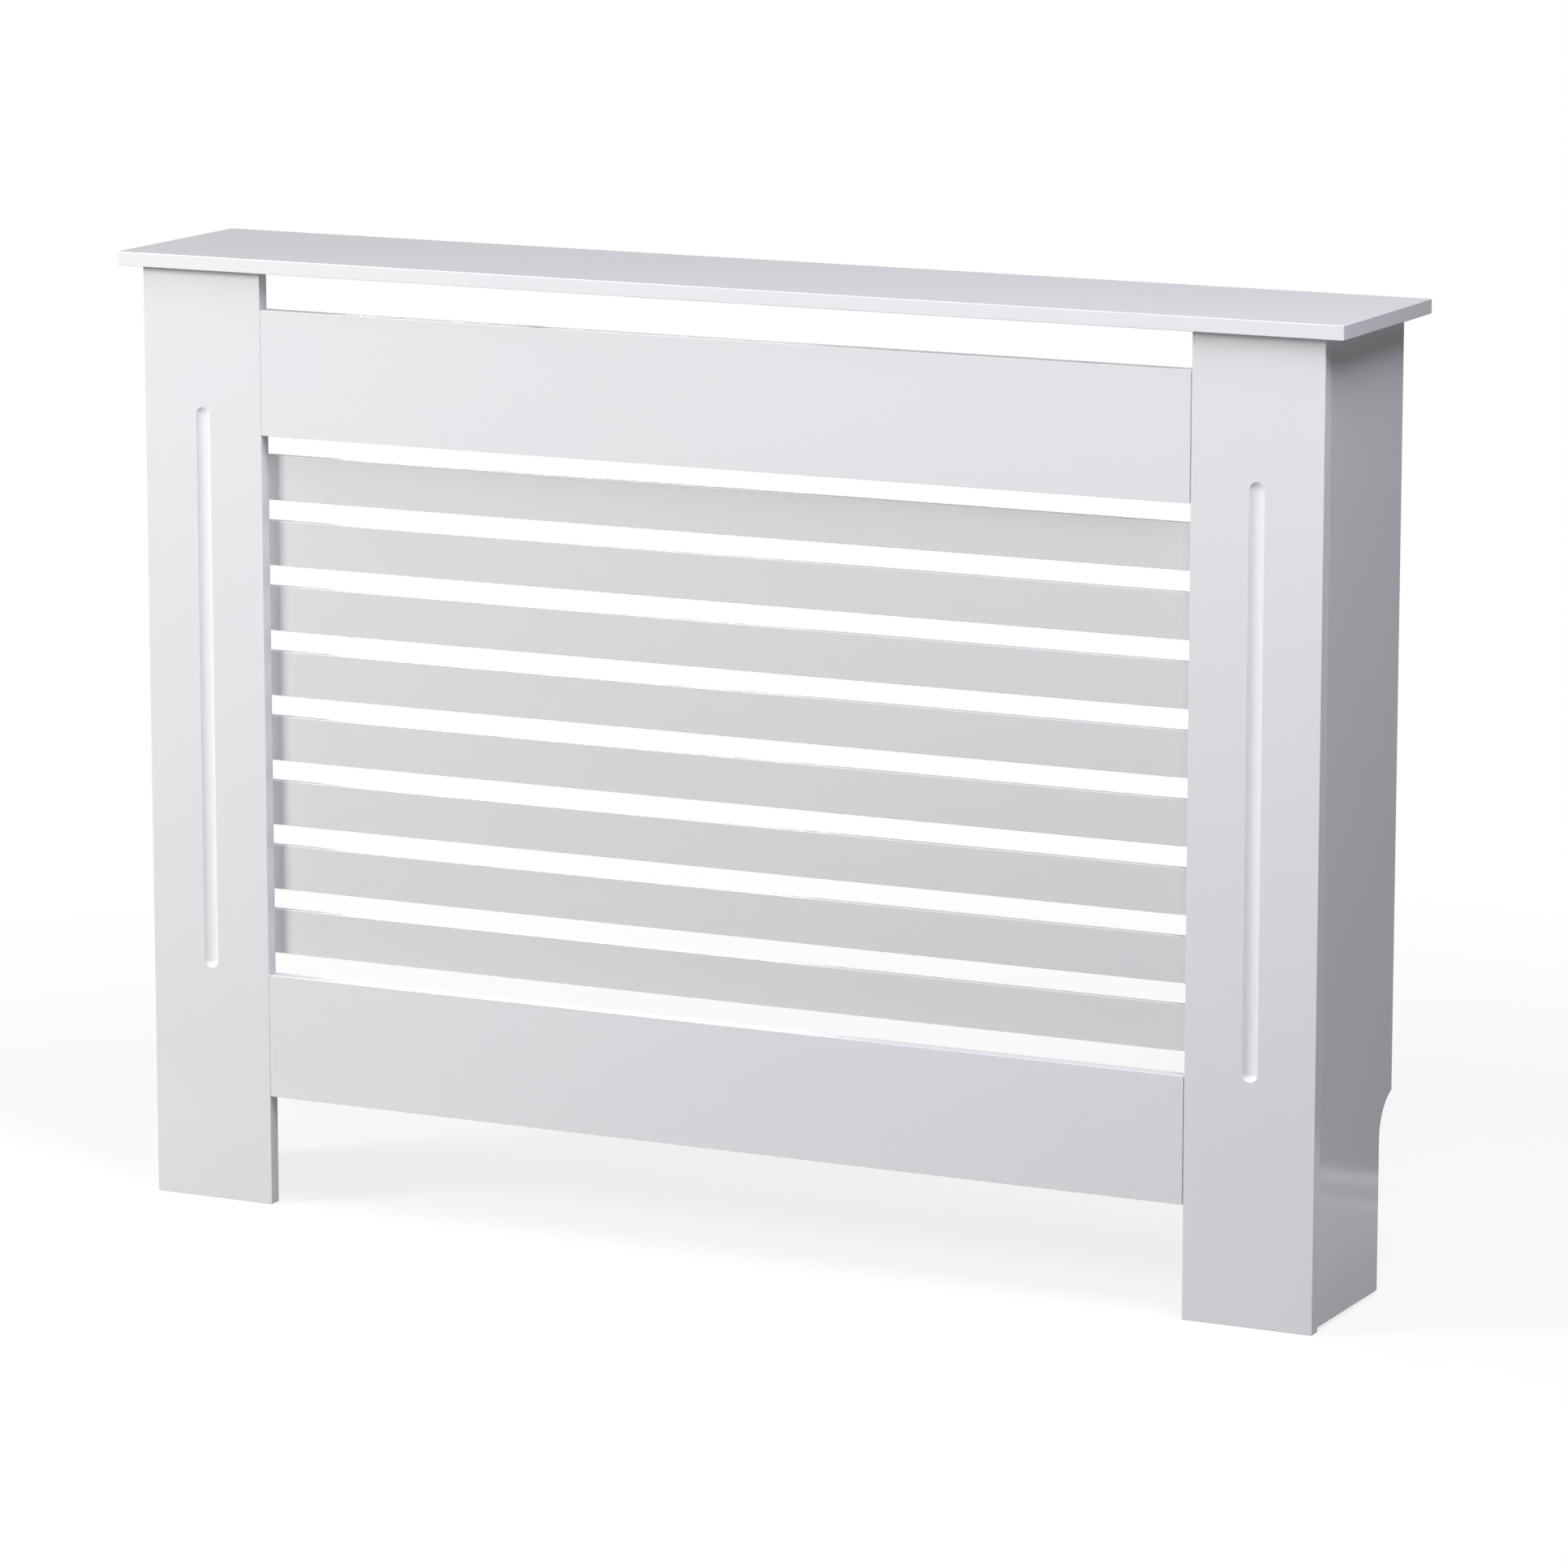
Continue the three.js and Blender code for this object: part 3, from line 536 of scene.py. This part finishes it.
# ---- The boards ----


def cam_pocket(x, y, face):
    return (circle(CAM_POCKET, 64, x, y), pocket_profile(BOARD - CAM_SKIN), face)


shelf = plate(rectangle(-SHELF_LENGTH / 2, -SHELF_DEPTH / 2, SHELF_LENGTH, SHELF_DEPTH,
                        BOARD_CORNER), rounded_edge(BOARD, ARRIS))
stand("shelf_board", placed(shelf, FLAT, (0, 0, LEG_HEIGHT)),
      BOARD_PAINT, "white_board", "top_shelf", face=FLAT[2])

for word, side in SIDES:
    groove = (capsule(GROOVE_FOOT, GROOVE_HEAD, GROOVE_WIDTH),
              cove_profile(GROOVE_WIDTH, GROOVE_DEPTH), 1)
    leg = plate(rectangle(-LEG_WIDTH / 2, 0, LEG_WIDTH, LEG_HEIGHT, BOARD_CORNER),
                rounded_edge(BOARD, ARRIS, rear=JOINT_ARRIS), [groove])
    middle = side * (BODY_HALF - LEG_WIDTH / 2)
    stand(f"{word}_leg_board", placed(leg, FRONTAL, (middle, LEG_REAR_Y, 0)),
          BOARD_PAINT, "white_board", f"{word}_front_leg", face=FRONTAL[2],
          edge_lacquer_and_light=LEG_EDGE_LACQUER_AND_LIGHT)

    wells = [(LEG_REAR_Y + CAM_SETBACK, z) for z in LEG_CAM_HEIGHTS]
    wells += [(y, LEG_HEIGHT - CAM_SETBACK) for y in SHELF_CAM_YS]
    panel = plate(side_outline(), rounded_edge(BOARD, JOINT_ARRIS),
                  [cam_pocket(y, z, -side) for y, z in wells])
    left_face = BODY_HALF - BOARD if side > 0 else -BODY_HALF
    stand(f"{word}_side_board", placed(panel, LATERAL, (left_face, 0, 0)),
          BOARD_PAINT, "white_board", f"{word}_side_panel", face=LATERAL[2])

for name, foot in RAIL_FEET.items():
    wells = [(side * (RAIL_HALF - CAM_SETBACK), RAIL_HEIGHT / 2) for _, side in SIDES]
    rail = plate(rectangle(RAIL_ENDS[0], 0, RAIL_ENDS[1] - RAIL_ENDS[0], RAIL_HEIGHT, RAIL_CORNER),
                 rounded_edge(BOARD, RAIL_ARRIS), [cam_pocket(x, z, -1) for x, z in wells])
    stand(f"{name}_board", placed(rail, FRONTAL, (0, FRONT_Y + BOARD, foot)),
          BOARD_PAINT, "white_board", name, face=FRONTAL[2])

slat_feet = [RAIL_FEET["upper_rail"] - (i + 1) * (SLAT_GAP + SLAT_HEIGHT)
             for i in range(SLAT_COUNT)]
for i, foot in enumerate(slat_feet):
    slat = plate(rectangle(-SLAT_HALF, 0, 2 * SLAT_HALF, SLAT_HEIGHT, SLAT_CORNER),
                 rounded_edge(SLAT_THICKNESS, SLAT_ARRIS))
    stand(f"slat_board_{i + 1}", placed(slat, FRONTAL, (0, LEG_REAR_Y + SLAT_THICKNESS, foot)),
          SLAT_PAINT, "white_slat", f"slat_{i + 1}", face=FRONTAL[2])

# ---- Cam fittings ----
# Each has its own frame: the origin is the middle of the bolt's head, +X runs along the bolt
# to the next board and +Z points out of the disc's pocket.

X, Y, Z = np.eye(3)
UPRIGHT = np.array([[0, 0, -1, 0], [0, 1, -1, 0]], float)  # a plain wall of height 1


def frame_of(along, out):
    """Axes of a fitting: +X along, +Z out, and +Y square to both."""
    return np.array([along, np.cross(out, along), out])


def post(radius, low, high):
    """An upright round bar."""
    points, normals, faces = plate(circle(radius, 48), UPRIGHT)
    return points * (1, 1, high - low) + (0, 0, low), normals, faces


def cam_disc():
    """A die-cast disc with a screwdriver cross and an arrow that points to its mouth."""
    turn = math.radians(CAM_OPEN)
    arrow = circle(CAM_ARROW, 3) + (CAM_DISC - CAM_ARROW_INSET, 0)
    arrow = arrow @ np.array([[math.cos(turn), math.sin(turn)], [-math.sin(turn), math.cos(turn)]])
    disc = plate(circle(CAM_DISC, 72), rounded_edge(CAM_HEIGHT, 0.35, steps=3),
                 [(cross_ring(*CAM_CROSS), pocket_profile(*CAM_CROSS_CUT), 1),
                  (softened(arrow, CAM_ARROW_CORNER, 2), pocket_profile(*CAM_ARROW_CUT), 1)])
    return placed(disc, np.eye(3), (0, 0, CAM_SKIN - BOARD / 2))


def cam_hollows():
    """What is cast away inside a disc: room for the bolt's head, the mouth in the rim, and the
    slot in which the neck travels as the disc is turned."""
    turn = math.radians(CAM_OPEN)
    neck, head = BOLT_NECK + FIT, BOLT_HEAD + FIT
    mouth = placed(post(head, 0, BEYOND), frame_of(Z, (math.cos(turn), math.sin(turn), 0)),
                   (0, 0, 0))
    a = np.linspace(0, turn, 25)
    swept = BEYOND * np.stack([np.cos(a), np.sin(a)], 1)[1:]
    sector = np.concatenate([[(0, -neck), (BEYOND, -neck)], swept])
    points, normals, faces = plate(sector, UPRIGHT)
    slot = points * (1, 1, 2 * neck) - (0, 0, neck), normals, faces
    return post(CAM_HOLLOW, -head, head), mouth, slot


def cam_bolt(reach):
    """A bolt with a round head in the disc, a neck, and a coarse thread in the next board."""
    end = CAM_SETBACK + reach
    profile = turned_profile(BOLT_THREAD, [
        (BOLT_TIP, -2.1), (BOLT_HEAD, -0.7), (BOLT_HEAD, 2.1), (BOLT_NECK, 2.1), (BOLT_NECK, 8.5),
        (BOLT_THREAD, 9.6), (BOLT_THREAD, CAM_SETBACK), (BOLT_THREAD, end - 1.4),
        (BOLT_TIP, end)], step=0.5)
    shell = carried(circle(BOLT_THREAD, 24), profile)
    return capped(threaded(shell, pitch=2.0, depth=0.5, start=CAM_SETBACK - 1, end=end - 0.3))


def add_cam(name, origin, along, out, reach):
    axes = frame_of(along, out)
    disc = stand(f"{name}_cam_disc", placed(cam_disc(), axes, origin),
                 ZINC, "zinc_casting", f"{name}_cam")
    carve(disc, *(placed(part, axes, origin) for part in cam_hollows()))
    stand(f"{name}_cam_bolt", placed(cam_bolt(reach), frame_of(-np.array(out), along), origin),
          STEEL, "plated_steel", f"{name}_bolt")


for name, foot in RAIL_FEET.items():
    for word, side in SIDES:
        origin = (side * (RAIL_HALF - CAM_SETBACK), FRONT_Y + BOARD / 2, foot + RAIL_HEIGHT / 2)
        add_cam(f"{name}_{word}", origin, side * X, Y, BOLT_INTO_EDGE)
for word, side in SIDES:
    middle = side * (BODY_HALF - BOARD / 2)
    for place, z in zip(("lower", "upper"), LEG_CAM_HEIGHTS):
        add_cam(f"{word}_leg_{place}", (middle, LEG_REAR_Y + CAM_SETBACK, z), -Y, -side * X,
                BOLT_INTO_FACE)
    for place, y in zip(("front", "rear"), SHELF_CAM_YS):
        add_cam(f"{word}_shelf_{place}", (middle, y, LEG_HEIGHT - CAM_SETBACK), Z, -side * X,
                BOLT_INTO_FACE)

# ---- Screws and wall brackets ----


def pan_screw(length):
    """A pan-head screw from its point at height 0 to the crown, with a cross in the head and a
    thread that runs up to one and a half millimetres below it."""
    profile = turned_profile(PAN_HEAD_RADIUS, [
        (SCREW_TIP, 0), (SCREW_THREAD, SCREW_TAPER), (SCREW_THREAD, length),
        *[(r, length + up) for r, up in PAN_HEAD]], step=0.2)
    shell = carried(circle(PAN_HEAD_RADIUS, 24), profile)
    return capped(threaded(shell, pitch=1.2, depth=0.42, start=0.2, end=length - 1.5),
                  [(cross_ring(*PAN_CROSS), pocket_profile(*PAN_CROSS_CUT), 1)])


def add_screw(name, head, out, sideways, length):
    axes = frame_of(np.array(sideways), np.array(out))
    point = np.array(head) - np.array(out) * length
    stand(f"{name}_pan_head", placed(pan_screw(length), axes, point), STEEL, "plated_steel", name)


for i, foot in enumerate(slat_feet):
    for word, side in SIDES:
        head = (side * SLAT_SCREW_X, LEG_REAR_Y + SLAT_THICKNESS, foot + SLAT_HEIGHT / 2)
        add_screw(f"slat_{i + 1}_{word}_screw", head, Y, X, SLAT_THICKNESS + SCREW_BITE)

for word, side in SIDES:
    arm, thick, bend, corner = (BRACKET[key] for key in ("arm", "thickness", "bend", "corner"))
    angle = softened([(0, 0), (-arm, 0), (-arm, -thick), (-thick, -thick), (-thick, -arm),
                      (0, -arm)], [bend + thick, corner, corner, bend, corner, corner], 8)
    at = np.array((side * BRACKET_X, WALL_Y, LEG_HEIGHT), float)
    body = placed(plate(angle, rounded_edge(BRACKET["width"], BRACKET["arris"], steps=3)),
                  LATERAL, at - (BRACKET["width"] / 2, 0, 0))
    piece = stand(f"{word}_bracket_angle", body, STEEL, "plated_steel", f"{word}_wall_bracket")
    inset = arm - BRACKET["inset"]
    drill = post(BRACKET["hole"], -5, 5)
    carve(piece, placed(drill, (X, Y, Z), at - (0, inset, 0)),
          placed(drill, (X, -Z, Y), at - (0, 0, inset)))
    add_screw(f"{word}_bracket_screw", at + (0, BRACKET_SCREW_Y - WALL_Y, -thick), -Z, X,
              thick + SCREW_BITE)

# ---- Camera: the photograph's own view ----

AZIMUTH, ELEVATION = math.radians(26.22), math.radians(11.008)
DISTANCE = 6.013186
FOCAL_PIXELS, FRAME_PIXELS = 8825.032, 1932
AIM = Vector((0.018703, 0.012413, 0.391710))


def way_to(azimuth, elevation):
    """The way from the object to what stands round it, from the front and up."""
    level = math.cos(elevation)
    return Vector((math.sin(azimuth) * level, -math.cos(azimuth) * level, math.sin(elevation)))


back = way_to(AZIMUTH, ELEVATION)
right = Vector((math.cos(AZIMUTH), math.sin(AZIMUTH), 0))
camera = bpy.data.objects.new("camera", bpy.data.cameras.new("camera"))
bpy.context.scene.collection.objects.link(camera)
camera.data.sensor_width = 36
camera.data.lens = FOCAL_PIXELS * camera.data.sensor_width / FRAME_PIXELS
camera.data.clip_start, camera.data.clip_end = 0.1, 200
camera.matrix_world = Matrix.Translation(AIM + back * DISTANCE) @ Matrix(
    (right, back.cross(right), back)).transposed().to_4x4()
bpy.context.scene.camera = camera

# ---- Floor and world: each kind of ray sees its own brightness ----

WHITE, BLACK, SKY = (1, 1, 1, 1), (0, 0, 0, 1), (0.96, 0.97, 1, 1)
FLOOR_HALF = 30.0
# The camera sees the floor lit by the lamps, mixed with an even white of its own. The white's
# share grows with the distance from the object: metres from, to; share near, far.
GLOW = (0.75, 1.7, 0.8, 1.0)
FLOOR_BOUNCE = (0.27, 0.27, 0.28, 1)  # how much the floor lights the boards, less than it shows
SHEEN_WHITE = 2.0  # the brightest that a glossy surface sees of the floor
# Its share of that, set to the streaks of light on the photograph's right panel: metres behind
# the object, a metre either way at most, and the share there.
SHEEN = ((-0.60, 0.225), (-0.35, 0.475), (0.310, 0.475), (0.330, 0.76), (0.350, 0.375),
         (0.388, 0.375), (0.412, 0.82), (0.422, 0.84), (0.440, 0.225))
CONTACT = (0.57, 0.68, 0.8, 1.0)  # a painted shadow: what a glossy surface sees of the floor is dimmer close to the object: metres from, to; near, far
SKY_GLOSS, AMBIENT = 0.44, 0.006  # the sky in a glossy surface, and its light on the rest


def stage_nodes(tree):
    """A small helper for the floor and the world, whose shaders depend on the kind of ray."""
    tree.nodes.clear()

    def add(kind, *inputs, **settings):
        node = tree.nodes.new(kind)
        for key, value in settings.items():
            setattr(node, key, value)
        for socket, value in zip(node.inputs, inputs):
            if isinstance(value, bpy.types.NodeSocket):
                tree.links.new(value, socket)
            elif value is not None:
                socket.default_value = value
        return node
    return add


def on_ramp(y):
    """The place on the sheen's ramp, which runs from 0 to 1, of what is y metres behind."""
    return (y + 1) / 2


mesh = bpy.data.meshes.new("floor")
mesh.from_pydata([(x * FLOOR_HALF, y * FLOOR_HALF, 0)
                  for x, y in ((-1, -1), (1, -1), (1, 1), (-1, 1))], [], [(0, 1, 2, 3)])
floor = bpy.data.objects.new("floor", mesh)
bpy.context.scene.collection.objects.link(floor)
ground = bpy.data.materials.new("floor")
ground.use_nodes = True
mesh.materials.append(ground)
add = stage_nodes(ground.node_tree)
ray = add("ShaderNodeLightPath").outputs
bounce = add("ShaderNodeBsdfDiffuse", FLOOR_BOUNCE).outputs[0]
lit = add("ShaderNodeBsdfDiffuse", WHITE).outputs[0]
glow = add("ShaderNodeEmission", WHITE, 1.0).outputs[0]
place = add("ShaderNodeTexCoord").outputs["Object"]
reach = add("ShaderNodeVectorMath", place, operation="LENGTH").outputs["Value"]
share = add("ShaderNodeMapRange", reach, *GLOW, interpolation_type="SMOOTHSTEP").outputs[0]
seen = add("ShaderNodeMixShader", share, lit, glow).outputs[0]
behind = add("ShaderNodeSeparateXYZ", place).outputs["Y"]
along = add("ShaderNodeMapRange", behind, -1.0, 1.0, 0.0, 1.0).outputs[0]
ramp = add("ShaderNodeValToRGB", along)
stops = ramp.color_ramp.elements
for stop, (y, bright) in zip([stops[0], stops[1]], [SHEEN[0], SHEEN[-1]]):
    stop.position, stop.color = on_ramp(y), (bright, bright, bright, 1)
for y, bright in SHEEN[1:-1]:
    stops.new(on_ramp(y)).color = (bright, bright, bright, 1)
# Painted shadow: the floor's sheen dims close to the object.
contact = add("ShaderNodeMapRange", reach, *CONTACT).outputs[0]
sheen = add("ShaderNodeMath", ramp.outputs[0], contact, operation="MULTIPLY").outputs[0]
black = add("ShaderNodeEmission", BLACK, 0.0).outputs[0]
bright = add("ShaderNodeEmission", WHITE, SHEEN_WHITE).outputs[0]
mirrored = add("ShaderNodeMixShader", sheen, black, bright).outputs[0]
other = add("ShaderNodeMixShader", ray["Is Glossy Ray"], bounce, mirrored).outputs[0]
final = add("ShaderNodeMixShader", ray["Is Camera Ray"], other, seen).outputs[0]
add("ShaderNodeOutputMaterial", final)

world = bpy.data.worlds.new("studio")
bpy.context.scene.world = world
world.use_nodes = True
add = stage_nodes(world.node_tree)
ray = add("ShaderNodeLightPath").outputs
dim = add("ShaderNodeBackground", SKY, AMBIENT).outputs[0]
gloss = add("ShaderNodeBackground", SKY, SKY_GLOSS).outputs[0]
white = add("ShaderNodeBackground", WHITE, 1.0).outputs[0]
other = add("ShaderNodeMixShader", ray["Is Glossy Ray"], dim, gloss).outputs[0]
final = add("ShaderNodeMixShader", ray["Is Camera Ray"], other, white).outputs[0]
add("ShaderNodeOutputWorld", final)

# ---- Lamps ----

# Their places and strengths are fitted to the boards' tones in the photograph.
LIT_POINT = Vector((0, 0, 0.45))
LAMPS = {  # degrees round from the front and up, metres away, side of the square, watts, colour
    "key": (-50, 20, 4.0, 1.24, 121, "fffefb"),
    "front": (0, 30, 4.0, 1.0, 17, "ffffff"),
    "right_front": (60, 58, 4.0, 1.9, 90, "f2f3ff"),
    "left": (-90, 60, 4.0, 1.4, 26, "ffffff"),
    "near_right": (45, 45, 2.0, 0.6, 10, "f6f8ff"),
    "back": (-150, 0, 4.0, 0.7, 60, "ffffff"),  # lower than the shelf, which can't mirror it
}

for name, (round_to, up, away, size, watts, colour) in LAMPS.items():
    lamp = bpy.data.lights.new(name, "AREA")
    lamp.shape, lamp.size, lamp.energy, lamp.color = "SQUARE", size, watts, linear(colour)[:3]
    holder = bpy.data.objects.new(name, lamp)
    bpy.context.scene.collection.objects.link(holder)
    holder.visible_camera = False
    way = way_to(math.radians(round_to), math.radians(up))
    holder.location = LIT_POINT + way * away
    holder.rotation_euler = (-way).to_track_quat("-Z", "Y").to_euler()

bpy.context.scene.view_settings.view_transform = "Standard"
